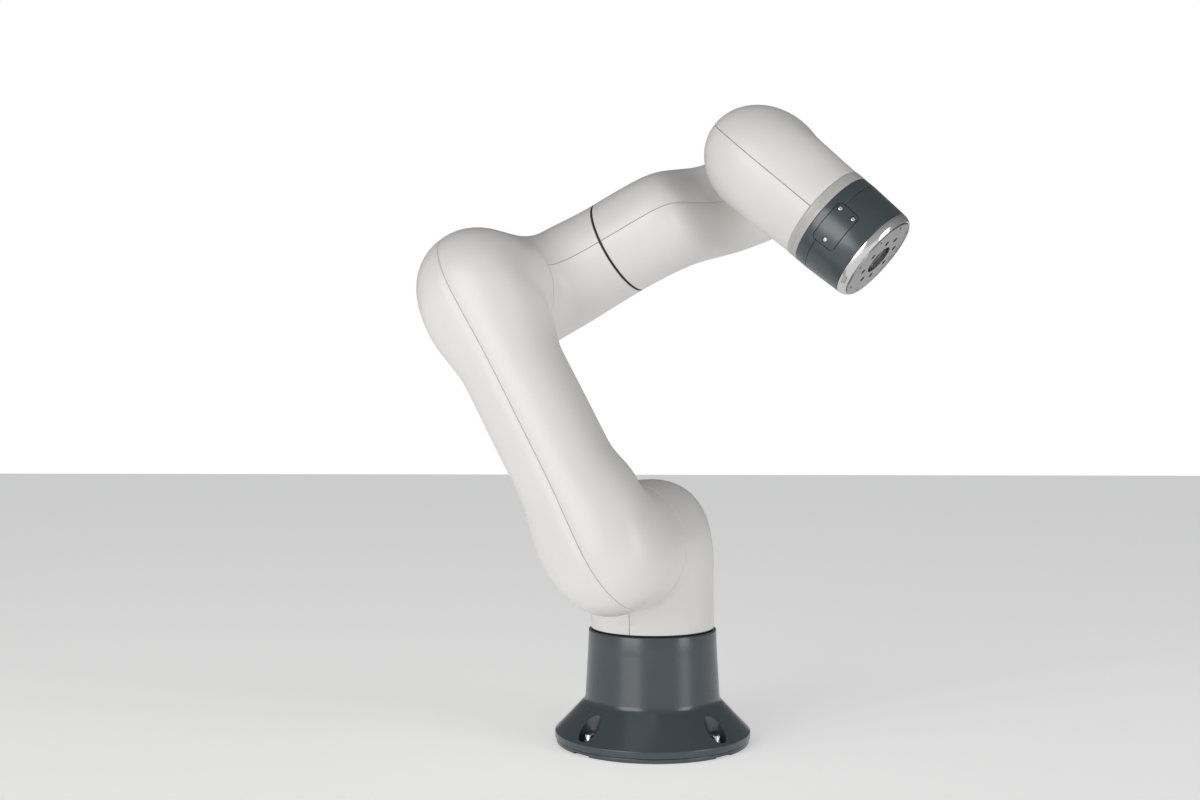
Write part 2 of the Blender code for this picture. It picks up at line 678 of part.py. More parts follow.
def main():
    clear_scene()
    mats = make_materials()
    axis1 = axis_empty("axis_1", None, (0.0, 0.0, 0.0), turn=COLUMN_TURN)
    axis2 = axis_empty("axis_2", axis1, (0.0, 0.0, AXIS2_HEIGHT), tilt=LINK_TILT)
    axis3 = axis_empty("axis_3", axis2, (0.0, 0.0, LINK_LENGTH), tilt=FOREARM_TILT)
    axis4 = axis_empty("axis_4", axis3, (0.0, 0.0, AXIS4_SEAM))
    axis5 = axis_empty("axis_5", axis4, (0.0, 0.0, FOREARM_LENGTH - AXIS4_SEAM), tilt=HAND_TILT)
    axis6 = axis_empty("axis_6", axis5, (0.0, 0.0, 0.0))

    make_base(mats)
    make_connector_panel(mats)
    shell_pair("column", column_stages(), mats["shell"], axis1, COLUMN_SQUARENESS)
    shell_pair("link_arm", link_stages(), mats["shell"], axis2, LINK_SQUARENESS)
    shell_pair("forearm", forearm_stages(), mats["shell"], axis3)
    shell_pair("wrist", wrist_stages(), mats["shell"], axis4)
    shell_pair("hand", hand_stages(), mats["shell"], axis5)
    seal = ring_profile(TUBE_RADIUS - WALL, TUBE_RADIUS - GAP, GAP - LIP, LIP - GAP)
    add_object("axis4_seal", turned(seal, RING_SIDES), mats["seal"], axis3,
               Matrix.Translation((0.0, 0.0, AXIS4_SEAM)))
    make_hand_end(mats, axis5)
    make_flange(mats, axis6)
    make_drives(mats, axis1, axis2, axis3, axis4, axis5, axis6)


def make_drives(mats, axis1, axis2, axis3, axis4, axis5, axis6):
    minus_y = Matrix.Rotation(math.radians(90), 4, "X")
    plus_y = Matrix.Rotation(math.radians(-90), 4, "X")

    def at(y, z):
        return Matrix.Translation((0.0, y, z))

    fixed, driven = DRIVE_1_PLACES
    make_drive(1, None, axis1, at(0.0, fixed), at(0.0, driven), LARGE_DRIVE, mats)
    fixed, driven = DRIVE_2_PLACES
    make_drive(2, axis1, axis2, at(fixed, AXIS2_HEIGHT) @ minus_y, at(driven, 0.0) @ minus_y,
               LARGE_DRIVE, mats)
    fixed, driven = DRIVE_3_PLACES
    make_drive(3, axis2, axis3, at(fixed, LINK_LENGTH) @ minus_y, at(driven, 0.0) @ plus_y,
               LARGE_DRIVE, mats)
    fixed, driven = DRIVE_4_PLACES
    make_drive(4, axis3, axis4, at(0.0, fixed), at(0.0, driven), MIDDLE_DRIVE, mats)
    fixed, driven = DRIVE_5_PLACES
    make_drive(5, axis4, axis5, at(fixed, FOREARM_LENGTH - AXIS4_SEAM) @ plus_y, at(driven, 0.0) @ minus_y,
               MIDDLE_DRIVE, mats)
    fixed, driven = DRIVE_6_PLACES
    make_drive(6, axis5, axis6, at(0.0, fixed), at(0.0, driven), SMALL_DRIVE, mats)


main()
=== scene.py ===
import json
import math

import bmesh
import bpy
from mathutils import Matrix, Vector


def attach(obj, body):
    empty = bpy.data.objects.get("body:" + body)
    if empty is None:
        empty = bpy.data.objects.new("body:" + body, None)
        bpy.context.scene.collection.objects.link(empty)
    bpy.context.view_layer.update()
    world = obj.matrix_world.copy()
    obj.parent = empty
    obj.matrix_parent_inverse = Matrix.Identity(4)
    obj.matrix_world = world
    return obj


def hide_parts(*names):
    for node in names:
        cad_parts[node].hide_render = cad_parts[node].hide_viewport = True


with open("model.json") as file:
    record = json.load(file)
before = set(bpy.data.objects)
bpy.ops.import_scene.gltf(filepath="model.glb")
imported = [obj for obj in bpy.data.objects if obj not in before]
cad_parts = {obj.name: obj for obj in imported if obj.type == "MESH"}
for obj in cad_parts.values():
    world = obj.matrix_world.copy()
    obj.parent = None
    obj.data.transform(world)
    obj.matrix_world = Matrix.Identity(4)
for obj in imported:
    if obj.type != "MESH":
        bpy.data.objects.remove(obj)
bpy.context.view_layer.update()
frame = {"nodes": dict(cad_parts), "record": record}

# Kinematic chain and rest pose, as in the CAD source
AXIS2_HEIGHT = 0.213
LINK_LENGTH = 0.300
AXIS4_SEAM = 0.120
FOREARM_LENGTH = 0.300
FLANGE_REACH = 0.160
COLUMN_TURN = -20.95
LINK_TILT = -29.18
FOREARM_TILT = 92.825
HAND_TILT = 67.835

# Joint faces and housing radii
SHOULDER_PLANE = -0.075
SHOULDER_RADIUS = 0.065
WRIST_PLANE = 0.060
WRIST_RADIUS = 0.054
TUBE_RADIUS = 0.053
HAND_RADIUS = 0.052
COLUMN_RADIUS = 0.0657
BASE_TOP = 0.1190
SEAL_THICKNESS = 0.0014
GAP = 0.0003
LIP = 0.0013

# Base casting, foot plate and screws
BASE_RADIUS = 0.104
BASE_BORE = 0.060
BASE_FOOT = 0.0048
BASE_PROFILE = ((BASE_BORE, BASE_FOOT), (0.1030, BASE_FOOT), (BASE_RADIUS, 0.0058),
                (BASE_RADIUS, 0.0118), (0.0717, 0.0452), (0.0686, 0.1000), (0.0680, BASE_TOP),
                (BASE_BORE, BASE_TOP))
BASE_FILLETS = {3: 0.0016, 4: 0.010, 5: 0.05, 6: 0.0014}
PLATE_RADIUS = 0.1025
PLATE_THICKNESS = 0.0045
SEAL_INNER = 0.0605
SEAL_OUTER = 0.0648
BOLT_ANGLES = (-135, -45, -192, 12, -240, 60)
BOLT_CIRCLE = 0.0905
BOLT_SEAT = 0.0125
BOLT_HOLE = 0.0036
BOLT_SHANK = 0.0030
BOLT_FOOT = -0.0115
BOLT_HEAD = 0.0050
BOLT_HEAD_HEIGHT = 0.0060
BOLT_SOCKET = 0.0029
BOLT_SOCKET_DEPTH = 0.0034
WASHER_RADIUS = 0.0062
WASHER_THICKNESS = 0.0016
POCKET_RADIUS = 0.0113
POCKET_TOP = 0.070

# Connector panel on the back of the base
PANEL_BACK = 0.0763
PANEL_FACE = 0.0793
PANEL_HALF = 0.040
PANEL_LOW = 0.042
PANEL_HIGH = 0.098
PANEL_SCREW_INSET = 0.004
GROUND_STUD_HEIGHT = 0.052
RECEPTACLES = (("power", (-0.021, 0.074), 0.0120, 0.0090, 0.013, 5),
               ("data", (0.010, 0.078), 0.0085, 0.0060, 0.011, 4),
               ("network", (0.029, 0.060), 0.0065, 0.0045, 0.010, 4))

# Hand end: stations along axis 6 measured from axis 5
LIGHT_START = 0.085
LIGHT_END = 0.096
COLLAR_END = 0.1090
HOUSING_END = 0.1495
HOUSING_RADIUS = 0.0497
RIM_END = 0.1585
COLLAR_WALL = 0.006
COVER_LENGTH = 0.044
COVER_WIDTH = 0.025
COVER_MIDDLE = 0.1170
COVER_CORNER = 0.004
COVER_THICKNESS = 0.0022
COVER_SCREWS = ((-0.0170, 0.0083), (-0.0170, -0.0083), (0.0165, 0.0))
FLANGE_RADIUS = 0.0448
CENTRE_BORE = 0.01575
CENTRE_DEPTH = 0.008
TOOL_CIRCLE = 0.025
TOOL_HOLE = 0.0030
OUTER_CIRCLE = 0.0405
OUTER_HOLE = 0.0016
TOOL_HOLES = 8
HOLE_DEPTH = 0.006
CAP_RADIUS = 0.0146
CAP_BORE = 0.0050
CAP_THICKNESS = 0.0016
CAP_SCREWS = 6
CAP_SCREW_CIRCLE = 0.0105
CAP_SCREW_SINK = 0.0017

# Housing rails in the seam plane, as (y, z) points in each joint's own frame
COLUMN_SHOULDER_START = -7.0
COLUMN_NECK = ((-0.0665, 0.1300), (-0.0670, 0.1410), (-0.0675, 0.1470), (-0.0715, 0.1478))
LINK_DOME = -0.122
LINK_TIP = -0.183
LINK_FRONT = -0.1765
LINK_BACK = -0.0790
LINK_NECK = ((-0.0770, 0.0656), (-0.0785, 0.0662), (LINK_BACK, 0.0675), (LINK_BACK, 0.0720))
LINK_FRONT_RAIL = ((LINK_TIP, 0.0), (LINK_TIP, 0.030), (LINK_FRONT, 0.060), (LINK_FRONT, 0.095))
LINK_BACK_FLAT = 0.100
LINK_WIDTHS = (0.0650, 0.0610, 0.0500, 0.0500)
LINK_SQUARENESS = 0.5
COLUMN_SQUARENESS = 0.15
FOREARM_NECK = ((-0.0715, 0.0654), (-0.0660, 0.0665), (-0.0610, 0.0720), (-0.0580, 0.0800))
FOREARM_BACK = ((-0.0580, 0.0800), (-0.0550, 0.0890), (-TUBE_RADIUS, 0.0990))
FOREARM_SHOULDER_WIDTH = 0.0560
WRIST_DOME = 0.080
WRIST_TIP = 0.132
WRIST_HEEL = ((TUBE_RADIUS, 0.012), (0.055, 0.022), (0.060, 0.032))
WRIST_SLOPE = ((0.060, 0.032), (0.070, 0.052), (0.092, 0.070), (0.108, 0.095))
WRIST_CROWN = ((0.108, 0.095), (0.124, 0.120), (WRIST_TIP, 0.150))
WRIST_BELLY_START = 0.055
WRIST_BELLY = ((-TUBE_RADIUS, WRIST_BELLY_START), (-TUBE_RADIUS, 0.095), (-0.022, 0.090),
               (0.022, 0.103))
WRIST_THROAT = ((0.022, 0.103), (0.036, 0.107), (0.046, 0.1115), (0.052, 0.1160))
WRIST_NECK = ((0.052, 0.1160), (0.055, 0.1180), (0.0585, 0.1200), (0.0597, 0.1238))
HAND_DOME = -0.026
HAND_TIP = -0.060
HAND_DOME_RADIUS = 0.0540
HAND_BACK_RADIUS = 0.0572
HAND_NECK = ((0.0570, 0.0545), (0.0530, 0.0556), (0.0520, 0.0576), (0.0515, 0.0620))
HAND_BACK = ((0.0515, 0.0620), (0.0512, 0.0650), (HAND_RADIUS, 0.0720))
HAND_NECK_WIDTH = 0.0540

# Shell skins
WALL = 0.0030
SEAM_HALF_GAP = 0.00022
SEAM_LIP = 0.0007
STATION_STEP = 0.004
ARC_STEPS = 26
RELAX_ROUNDS = 5
LATCH_SIZE = 0.0046
LATCH_THICKNESS = 0.0008
LATCH_PROUD = 0.00010

# Mesh detail
SHARP_ANGLE = 32.0
BASE_SIDES = 160
HAND_SIDES = 144


# ---------------------------------------------------------------- joint frames

def tilted(tilt):
    return Matrix.Rotation(math.radians(tilt), 4, "Y")


def shifted(x, y, z):
    return Matrix.Translation((x, y, z))


WORLD = Matrix.Identity(4)
COLUMN_FRAME = Matrix.Rotation(math.radians(COLUMN_TURN), 4, "Z")
LINK_FRAME = COLUMN_FRAME @ shifted(0, 0, AXIS2_HEIGHT) @ tilted(LINK_TILT)
FOREARM_FRAME = LINK_FRAME @ shifted(0, 0, LINK_LENGTH) @ tilted(FOREARM_TILT)
WRIST_FRAME = FOREARM_FRAME @ shifted(0, 0, AXIS4_SEAM)
HAND_FRAME = FOREARM_FRAME @ shifted(0, 0, FOREARM_LENGTH) @ tilted(HAND_TILT)


# ---------------------------------------------------------------- materials

def new_material(name, color, roughness, metallic=0.0):
    material = bpy.data.materials.new(name)
    material.use_nodes = True
    tree = material.node_tree
    shader = tree.nodes["Principled BSDF"]
    shader.inputs["Base Color"].default_value = (*color, 1.0)
    shader.inputs["Roughness"].default_value = roughness
    shader.inputs["Metallic"].default_value = metallic
    return material, tree, shader


def noise(tree, scale, detail=2.0, roughness=0.5):
    coords = tree.nodes.new("ShaderNodeTexCoord")
    texture = tree.nodes.new("ShaderNodeTexNoise")
    texture.inputs["Scale"].default_value = scale
    texture.inputs["Detail"].default_value = detail
    texture.inputs["Roughness"].default_value = roughness
    tree.links.new(coords.outputs["Object"], texture.inputs["Vector"])
    return texture.outputs["Fac"]


def ramp(tree, source, low, high, color_low, color_high):
    node = tree.nodes.new("ShaderNodeValToRGB")
    node.color_ramp.elements[0].position = low
    node.color_ramp.elements[1].position = high
    node.color_ramp.elements[0].color = (*color_low, 1.0)
    node.color_ramp.elements[1].color = (*color_high, 1.0)
    tree.links.new(source, node.inputs["Fac"])
    return node.outputs["Color"]


def spread(tree, source, low, high):
    node = tree.nodes.new("ShaderNodeMapRange")
    node.inputs["To Min"].default_value = low
    node.inputs["To Max"].default_value = high
    tree.links.new(source, node.inputs["Value"])
    return node.outputs["Result"]


def bump(tree, shader, source, strength, distance):
    node = tree.nodes.new("ShaderNodeBump")
    node.inputs["Strength"].default_value = strength
    node.inputs["Distance"].default_value = distance
    tree.links.new(source, node.inputs["Height"])
    tree.links.new(node.outputs["Normal"], shader.inputs["Normal"])


def shade(color, factor):
    return tuple(channel * factor for channel in color)


def painted(name, color, roughness, grain, strength, distance, variation=0.03):
    """Sprayed paint: faint cloudy colour, uneven gloss and a fine surface grain."""
    material, tree, shader = new_material(name, color, roughness)
    clouds = noise(tree, 14.0, 3.0)
    cloudy = ramp(tree, clouds, 0.3, 0.7, shade(color, 1 - variation), shade(color, 1 + variation))
    tree.links.new(cloudy, shader.inputs["Base Color"])
    fine = noise(tree, grain, 2.0)
    uneven = spread(tree, fine, roughness - 0.05, roughness + 0.05)
    tree.links.new(uneven, shader.inputs["Roughness"])
    bump(tree, shader, fine, strength, distance)
    return material


def white_paint():
    material = painted("white_shell_paint", (0.79, 0.775, 0.755), 0.36, 1400.0, 0.10, 0.00008,
                       variation=0.012)
    shader = material.node_tree.nodes["Principled BSDF"]
    shader.inputs["Specular IOR Level"].default_value = 0.5
    shader.inputs["Coat Weight"].default_value = 0.10
    shader.inputs["Coat Roughness"].default_value = 0.25
    return material


def slate_paint():
    material = painted("slate_textured_paint", (0.041, 0.058, 0.067), 0.23, 1500.0, 0.30, 0.00010,
                       variation=0.05)
    material.node_tree.nodes["Principled BSDF"].inputs["Specular IOR Level"].default_value = 0.8
    return material


def metal(name, color, roughness, grain=600.0):
    material, tree, shader = new_material(name, color, roughness, 1.0)
    fine = noise(tree, grain, 4.0)
    cloudy = ramp(tree, fine, 0.3, 0.7, shade(color, 0.95), color)
    tree.links.new(cloudy, shader.inputs["Base Color"])
    tree.links.new(spread(tree, fine, roughness * 0.8, roughness * 1.3), shader.inputs["Roughness"])
    bump(tree, shader, fine, 0.08, 0.00005)
    return material


def local_vector(tree, place):
    """Object coordinates expressed in a joint's own frame."""
    coords = tree.nodes.new("ShaderNodeTexCoord")
    mapping = tree.nodes.new("ShaderNodeMapping")
    inverse = place.inverted()
    mapping.inputs["Location"].default_value = inverse.translation
    mapping.inputs["Rotation"].default_value = inverse.to_euler("XYZ")
    tree.links.new(coords.outputs["Object"], mapping.inputs["Vector"])
    return coords.outputs["Object"], mapping.outputs["Vector"]


def turned_metal(place):
    """Face turned steel: fine rings about a joint's Z axis, with the sheen running round them."""
    material, tree, shader = new_material("turned_flange_steel", (0.62, 0.62, 0.625), 0.30, 1.0)
    here, local = local_vector(tree, place)
    rings = tree.nodes.new("ShaderNodeTexWave")
    rings.wave_type = "RINGS"
    rings.rings_direction = "Z"
    rings.inputs["Scale"].default_value = 420.0
    rings.inputs["Distortion"].default_value = 0.4
    rings.inputs["Detail"].default_value = 2.0
    tree.links.new(local, rings.inputs["Vector"])
    tree.links.new(spread(tree, rings.outputs["Fac"], 0.22, 0.36), shader.inputs["Roughness"])
    grooved = ramp(tree, rings.outputs["Fac"], 0.2, 0.8, (0.36, 0.36, 0.365), (0.52, 0.52, 0.525))
    tree.links.new(grooved, shader.inputs["Base Color"])
    bump(tree, shader, rings.outputs["Fac"], 0.25, 0.00004)
    spoke = tree.nodes.new("ShaderNodeVectorMath")
    spoke.operation = "SUBTRACT"
    spoke.inputs[1].default_value = place.translation
    tree.links.new(here, spoke.inputs[0])
    around = tree.nodes.new("ShaderNodeVectorMath")
    around.operation = "CROSS_PRODUCT"
    around.inputs[0].default_value = place.to_3x3() @ Vector((0.0, 0.0, 1.0))
    tree.links.new(spoke.outputs["Vector"], around.inputs[1])
    world = tree.nodes.new("ShaderNodeVectorTransform")
    world.vector_type = "VECTOR"
    world.convert_from = "OBJECT"
    world.convert_to = "WORLD"
    tree.links.new(around.outputs["Vector"], world.inputs["Vector"])
    tree.links.new(world.outputs["Vector"], shader.inputs["Tangent"])
    shader.inputs["Anisotropic"].default_value = 0.7
    return material


def diffuser():
    """Frosted light grey plastic of the unlit status ring."""
    color = (0.50, 0.49, 0.475)
    material, tree, shader = new_material("light_ring_diffuser", color, 0.32)
    fine = noise(tree, 300.0, 2.0)
    tree.links.new(ramp(tree, fine, 0.3, 0.7, shade(color, 0.97), shade(color, 1.03)),
                   shader.inputs["Base Color"])
    bump(tree, shader, fine, 0.05, 0.00005)
    shader.inputs["Subsurface Weight"].default_value = 0.25
    shader.inputs["Subsurface Radius"].default_value = (0.004, 0.004, 0.004)
    shader.inputs["Coat Weight"].default_value = 0.15
    return material


def moulded(name, color, roughness):
    return painted(name, color, roughness, 900.0, 0.25, 0.00008, 0.08)


WHITE = white_paint()
SLATE = slate_paint()
RUBBER = moulded("black_seal_rubber", (0.012, 0.012, 0.013), 0.65)
PLASTIC = moulded("black_moulded_plastic", (0.022, 0.022, 0.025), 0.42)
BOARD = moulded("green_circuit_board", (0.02, 0.13, 0.06), 0.5)
LIGHT = diffuser()
SCREW = metal("bright_screw_steel", (0.74, 0.74, 0.745), 0.20, 900.0)
POLISHED = metal("polished_rim_steel", (0.78, 0.775, 0.77), 0.13, 350.0)
PANEL = metal("brushed_panel_aluminium", (0.50, 0.51, 0.52), 0.38, 700.0)
GROUND = metal("ground_drive_steel", (0.50, 0.50, 0.51), 0.35, 500.0)
COPPER = metal("enamelled_copper", (0.62, 0.30, 0.14), 0.33, 800.0)
TURNED = turned_metal(HAND_FRAME)
GOLD = metal("contact_gold", (0.83, 0.62, 0.25), 0.25, 900.0)


# ---------------------------------------------------------------- placing pieces

def add_piece(name, mesh, material, place, body, slot, *nodes, sharp=SHARP_ANGLE):
    """Turn a bmesh in a joint's own frame into a piece that rides on a body."""
    mesh.transform(place)
    bmesh.ops.recalc_face_normals(mesh, faces=mesh.faces)
    data = bpy.data.meshes.new(name)
    mesh.to_mesh(data)
    mesh.free()
    data.materials.append(material)
    data.shade_smooth()
    data.set_sharp_from_angle(angle=math.radians(sharp))
    item = bpy.data.objects.new(name, data)
    bpy.context.scene.collection.objects.link(item)
    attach(item, body)
    if nodes:
        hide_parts(*nodes)
    return item


def soften(item, width, angle=SHARP_ANGLE, segments=2):
    """Round the sharp edges of a piece with a bevel."""
    modifier = item.modifiers.new("edge_round", "BEVEL")
    modifier.width = width
    modifier.segments = segments
    modifier.limit_method = "ANGLE"
    modifier.angle_limit = math.radians(angle)
    modifier.harden_normals = True


def carve(item, meshes, place):
    """Cut closed meshes, given in the joint's own frame, out of a piece and keep the result."""
    joined = bmesh.new()
    for mesh in meshes:
        scratch = bpy.data.meshes.new("scratch")
        mesh.transform(place)
        bmesh.ops.recalc_face_normals(mesh, faces=mesh.faces)
        mesh.to_mesh(scratch)
        mesh.free()
        joined.from_mesh(scratch)
        bpy.data.meshes.remove(scratch)
    data = bpy.data.meshes.new("cutting_tool")
    joined.to_mesh(data)
    joined.free()
    tool = bpy.data.objects.new("cutting_tool", data)
    bpy.context.scene.collection.objects.link(tool)
    modifier = item.modifiers.new("carve", "BOOLEAN")
    modifier.operation = "DIFFERENCE"
    modifier.solver = "EXACT"
    modifier.object = tool
    bpy.context.view_layer.objects.active = item
    bpy.ops.object.modifier_move_to_index(modifier="carve", index=0)
    bpy.context.view_layer.update()
    graph = bpy.context.evaluated_depsgraph_get()
    kept = [m for m in item.modifiers if m.name != "carve"]
    for other in kept:
        other.show_viewport = False
    bpy.context.view_layer.update()
    result = bpy.data.meshes.new_from_object(item.evaluated_get(graph))
    for other in kept:
        other.show_viewport = True
    item.modifiers.remove(item.modifiers["carve"])
    item.data = result
    result.shade_smooth()
    result.set_sharp_from_angle(angle=math.radians(SHARP_ANGLE))
    bpy.data.objects.remove(tool)


# ---------------------------------------------------------------- curves in a seam plane

def line(start, end):
    return lambda u: Vector(start).lerp(Vector(end), u)


def arc(centre, reach_y, reach_z, first, last):
    def point(u):
        angle = math.radians(first + (last - first) * u)
        return Vector((centre[0] + reach_y * math.cos(angle),
                       centre[1] + reach_z * math.sin(angle)))
    return point


def bend(start, lead_out, lead_in, end):
    a, b, c, d = (Vector(p) for p in (start, lead_out, lead_in, end))

    def point(u):
        v = 1.0 - u
        return a * v ** 3 + b * 3 * v * v * u + c * 3 * v * u * u + d * u ** 3
    return point


def mirrored(curve, height):
    def point(u):
        y, z = curve(1.0 - u)
        return Vector((y, height - z))
    return point


def curve_length(curve):
    points = [curve(step / 16) for step in range(17)]
    return sum((b - a).length for a, b in zip(points, points[1:]))


def stations(stages):
    """Sample (outer, inner, half width) along the stages at an even spacing of the longer rail."""
    rows = []
    for outer, inner, width_in, width_out in stages:
        count = max(2, round(max(curve_length(outer), curve_length(inner)) / STATION_STEP))
        for step in range(count):
            u = step / count
            ease = u * u * (3.0 - 2.0 * u)
            rows.append((outer(u), inner(u), width_in + (width_out - width_in) * ease))
    outer, inner, _, width_out = stages[-1]
    rows.append((outer(1.0), inner(1.0), width_out))
    return relaxed(rows)


def relaxed(rows):
    """Average neighbouring stations, ends kept, so that stages flow into each other."""
    for _ in range(RELAX_ROUNDS):
        middle = []
        for before, here, after in zip(rows, rows[1:], rows[2:]):
            outer = (before[0] + here[0] * 2 + after[0]) / 4
            inner = (before[1] + here[1] * 2 + after[1]) / 4
            middle.append((outer, inner, (before[2] + here[2] * 2 + after[2]) / 4))
        rows = [rows[0]] + middle + [rows[-1]]
    return rows


def with_end_lips(rows, lip=0.0005):
    """Add a small rounded lip at both open ends."""
    def stepped(edge, inside):
        reach = max((edge[0] - inside[0]).length, (edge[1] - inside[1]).length, lip)
        share = min(0.9, lip / reach)
        return (edge[0].lerp(inside[0], share), edge[1].lerp(inside[1], share), *edge[2:])
    first = [rows[0], stepped(rows[0], rows[1])]
    return first + rows[1:-1] + [stepped(rows[-1], rows[-2]), rows[-1]]


def with_power(rows, squareness):
    """Add each station's superellipse power: 2 at both ends, squarer towards the middle."""
    last = len(rows) - 1
    return [(*row, 2.0 + squareness * math.sin(math.pi * number / last) ** 2)
            for number, row in enumerate(rows)]


def half_section(row, inset, side, lip):
    outer, inner, half_width, power = row
    centre = (outer + inner) / 2
    chord = (outer - inner) / 2
    direction = chord.normalized()
    reach = chord.length - inset
    width = half_width - inset
    turn_in = SEAM_LIP / half_width
    points = []

    def place(along, across):
        spot = centre + direction * along
        points.append((side * across, spot.x, spot.y))

    place(reach - lip, SEAM_HALF_GAP)
    for step in range(ARC_STEPS + 1):
        angle = turn_in + (math.pi - 2 * turn_in) * step / ARC_STEPS
        cosine = math.cos(angle)
        sine = math.sin(angle)
        along = math.copysign(abs(cosine) ** (2 / power), cosine) * reach
        across = sine ** (2 / power) * width
        place(along, max(across, SEAM_HALF_GAP))
    place(-(reach - lip), SEAM_HALF_GAP)
    return points


def half_skin(rows, side):
    """A closed half shell with a wall, a lip along the seam and a lip at each end."""
    mesh = bmesh.new()
    lipped = with_end_lips(rows)
    last = len(lipped) - 1
    skins = []
    for inset, lip in ((0.0, SEAM_LIP * 0.8), (WALL, 0.0)):
        skin = []
        for number, row in enumerate(lipped):
            shrink = inset + (0.0004 if inset == 0.0 and number in (0, last) else 0.0)
            skin.append([mesh.verts.new(p) for p in half_section(row, shrink, side, lip)])
        skins.append(skin)
    outside, inside = skins
    columns = len(outside[0]) - 1
    for skin in skins:
        for lower, upper in zip(skin, skin[1:]):
            for step in range(columns):
                mesh.faces.new((lower[step], lower[step + 1], upper[step + 1], upper[step]))
    for end in (0, -1):
        for step in range(columns):
            mesh.faces.new((outside[end][step], outside[end][step + 1],
                            inside[end][step + 1], inside[end][step]))
    for edge in (0, -1):
        for row in range(last):
            mesh.faces.new((outside[row][edge], outside[row + 1][edge],
                            inside[row + 1][edge], inside[row][edge]))
    return mesh


def surface_frame(rows, share, degrees, side):
    """A frame on the skin: Z out of the surface, X along the housing.

    share runs along the stations and degrees run round the section from the outer rail.
    """
    def spot(row, angle):
        outer, inner, half_width, power = row
        cosine = math.cos(angle)
        along = (outer + inner) / 2
        along = along + (outer - inner) / 2 * math.copysign(abs(cosine) ** (2 / power), cosine)
        return Vector((side * math.sin(angle) ** (2 / power) * half_width, along.x, along.y))
    index = min(len(rows) - 2, max(1, round(share * (len(rows) - 1))))
    angle = math.radians(degrees)
    here = spot(rows[index], angle)
    forward = (spot(rows[index + 1], angle) - spot(rows[index - 1], angle)).normalized()
    around = (spot(rows[index], angle + 0.02) - spot(rows[index], angle - 0.02)).normalized()
    out = forward.cross(around).normalized()
    middle = rows[index][0].lerp(rows[index][1], 0.5)
    if out.dot(here - Vector((0.0, middle.x, middle.y))) < 0:
        out = -out
    turn = Matrix((forward, out.cross(forward), out)).transposed().to_4x4()
    return Matrix.Translation(here) @ turn


# ---------------------------------------------------------------- housing shapes

def column_stages():
    face = SHOULDER_PLANE + GAP
    radius = SHOULDER_RADIUS
    foot = BASE_TOP + SEAL_THICKNESS + 2 * GAP
    lower = AXIS2_HEIGHT - radius
    shoulder = arc((0.0, AXIS2_HEIGHT), radius, radius, COLUMN_SHOULDER_START, 90.0)
    width = COLUMN_RADIUS
    return [
        (line((width, foot), shoulder(0.0)), line((-width, foot), COLUMN_NECK[0]), width, radius),
        (shoulder, bend(*COLUMN_NECK), radius, radius),
        (line(shoulder(1.0), (face, AXIS2_HEIGHT + radius)), line(COLUMN_NECK[-1], (face, lower)),
         radius, radius),
    ]


def link_stages():
    face = SHOULDER_PLANE - GAP
    radius = SHOULDER_RADIUS
    middle = LINK_LENGTH / 2
    joint, dome, waist, centre = LINK_WIDTHS
    neck_top = LINK_NECK[-1]
    back_flat = (LINK_BACK, LINK_BACK_FLAT)
    lower_half = [
        (line((face, -radius), (LINK_DOME, -radius)), line((face, radius), LINK_NECK[0]),
         joint, joint),
        (arc((LINK_DOME, 0.0), LINK_DOME - LINK_TIP, radius, -90.0, -180.0), bend(*LINK_NECK),
         joint, dome),
        (bend(*LINK_FRONT_RAIL), line(neck_top, back_flat), dome, waist),
        (line(LINK_FRONT_RAIL[-1], (LINK_FRONT, middle)), line(back_flat, (LINK_BACK, middle)),
         waist, centre),
    ]
    upper_half = [(mirrored(outer, LINK_LENGTH), mirrored(inner, LINK_LENGTH), width_out, width_in)
                  for outer, inner, width_in, width_out in reversed(lower_half)]
    return lower_half + upper_half


def forearm_stages():
    face = SHOULDER_PLANE + GAP
    radius = SHOULDER_RADIUS
    tube = TUBE_RADIUS
    corner = tube - radius
    end = AXIS4_SEAM - LIP
    return [
        (line((face, -radius), (corner, -radius)), line((face, radius), FOREARM_NECK[0]),
         radius, radius),
        (arc((corner, 0.0), radius, radius, -90.0, 0.0), bend(*FOREARM_NECK),
         radius, FOREARM_SHOULDER_WIDTH),
        (line((tube, 0.0), (tube, end)), bend(*FOREARM_BACK, (-tube, end)),
         FOREARM_SHOULDER_WIDTH, tube),
    ]


def wrist_stages():
    face = WRIST_PLANE + GAP
    radius = WRIST_RADIUS
    tube = TUBE_RADIUS
    axis5 = FOREARM_LENGTH - AXIS4_SEAM
    return [
        (bend((tube, LIP), *WRIST_HEEL), line((-tube, LIP), (-tube, WRIST_BELLY_START)),
         tube, tube),
        (bend(*WRIST_SLOPE), bend(*WRIST_BELLY), tube, tube),
        (bend(*WRIST_CROWN, (WRIST_TIP, axis5)), bend(*WRIST_THROAT), tube, radius),
        (arc((WRIST_DOME, axis5), WRIST_TIP - WRIST_DOME, radius, 0.0, 90.0), bend(*WRIST_NECK),
         radius, radius),
        (line((WRIST_DOME, axis5 + radius), (face, axis5 + radius)),
         line(WRIST_NECK[-1], (face, axis5 - radius)), radius, radius),
    ]


